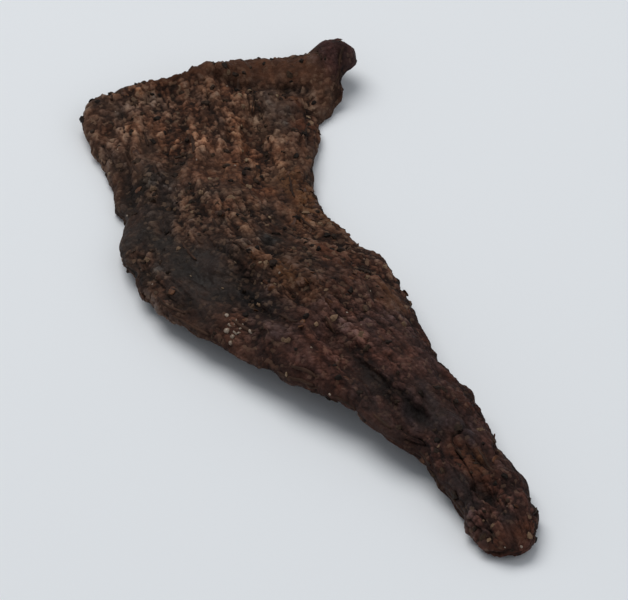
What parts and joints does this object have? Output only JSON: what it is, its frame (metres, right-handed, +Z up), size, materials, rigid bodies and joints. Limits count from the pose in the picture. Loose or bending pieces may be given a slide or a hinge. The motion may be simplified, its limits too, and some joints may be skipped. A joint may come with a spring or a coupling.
{
  "type": "buffalo jerky strip",
  "caption": "Thin dark strip of dried meat with a broad head, a knob at one corner and a narrow blunt tail, arched a little and lying flat.",
  "frame": {"origin": "on the surface that the strip lies on, under the middle of its box", "axes": "+X along the strip from its broad head to the tip of its tail, +Y across it towards the side with the knob, +Z up"},
  "size_m": [0.126, 0.0508, 0.0117],
  "materials": {
    "dried_meat": "rough, with satin patches where it dried smooth"
  },
  "bodies": {
    "root": {"jerky_strip": "dried_meat"}
  },
  "joints": []
}
